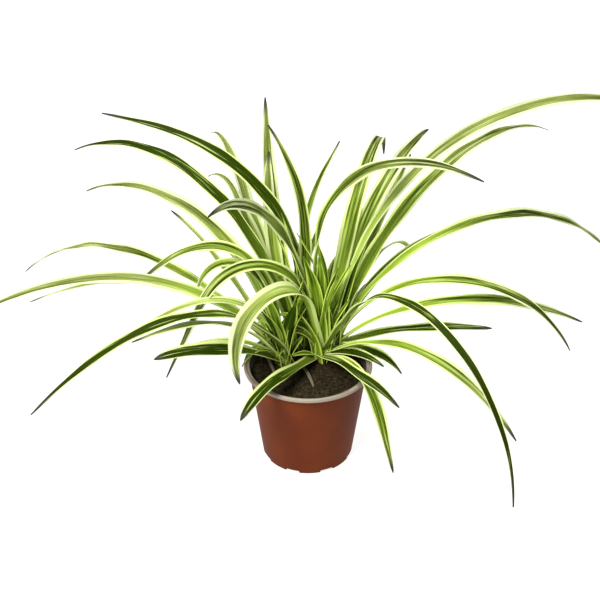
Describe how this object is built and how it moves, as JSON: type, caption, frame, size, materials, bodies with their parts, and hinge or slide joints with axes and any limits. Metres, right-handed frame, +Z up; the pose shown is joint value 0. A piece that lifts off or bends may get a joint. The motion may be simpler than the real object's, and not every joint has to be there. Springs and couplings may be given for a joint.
{
  "type": "potted spider plant",
  "caption": "Young spider plant with long arching cream-edged leaves in a round tapered plastic nursery pot filled with peat.",
  "frame": {"origin": "centre of the pot's flat underside", "axes": "+Z up; +X to the right and +Y away from the viewer, seen from the picture's side; the leaves spread furthest along X"},
  "size_m": [0.6506, 0.4563, 0.3358],
  "materials": {
    "pot_plastic": "moulded, slightly glossy, terracotta brown with a paler grey-pink rim",
    "peat": "dark crumbly damp peat",
    "young_growth": "pale green clasped leaf bases and young leaves",
    "variegated_leaf": "smooth satin leaf, green centre with fine parallel lines and cream margins"
  },
  "bodies": {
    "root": {"pot": "pot_plastic", "soil": "peat", "crown_front": "young_growth", "leaf_front_1": "variegated_leaf", "leaf_front_2": "variegated_leaf", "leaf_front_3": "variegated_leaf", "leaf_front_4": "variegated_leaf", "leaf_front_5": "variegated_leaf", "leaf_front_6": "variegated_leaf", "leaf_front_7": "variegated_leaf", "leaf_front_8": "variegated_leaf", "leaf_front_9": "variegated_leaf", "leaf_front_10": "variegated_leaf", "crown_left": "young_growth", "leaf_left_1": "variegated_leaf", "leaf_left_2": "variegated_leaf", "leaf_left_3": "variegated_leaf", "leaf_left_4": "variegated_leaf", "leaf_left_5": "variegated_leaf", "leaf_left_6": "variegated_leaf", "leaf_left_7": "variegated_leaf", "leaf_left_8": "variegated_leaf", "leaf_left_9": "variegated_leaf", "leaf_left_10": "variegated_leaf", "leaf_left_11": "variegated_leaf", "leaf_left_12": "variegated_leaf", "crown_back": "young_growth", "leaf_back_1": "variegated_leaf", "leaf_back_2": "variegated_leaf", "leaf_back_3": "variegated_leaf", "leaf_back_4": "variegated_leaf", "leaf_back_5": "variegated_leaf", "leaf_back_6": "variegated_leaf", "leaf_back_7": "variegated_leaf", "leaf_back_8": "variegated_leaf", "leaf_back_9": "variegated_leaf", "leaf_back_10": "variegated_leaf", "leaf_back_11": "variegated_leaf", "leaf_back_12": "variegated_leaf", "crown_right": "young_growth", "leaf_right_1": "variegated_leaf", "leaf_right_2": "variegated_leaf", "leaf_right_3": "variegated_leaf", "leaf_right_4": "variegated_leaf", "leaf_right_5": "variegated_leaf", "leaf_right_6": "variegated_leaf", "leaf_right_7": "variegated_leaf", "leaf_right_8": "variegated_leaf", "leaf_right_9": "variegated_leaf", "leaf_right_10": "variegated_leaf", "leaf_right_11": "variegated_leaf", "leaf_right_12": "variegated_leaf", "leaf_right_13": "variegated_leaf", "leaf_right_14": "variegated_leaf", "leaf_right_15": "variegated_leaf"}
  },
  "joints": []
}
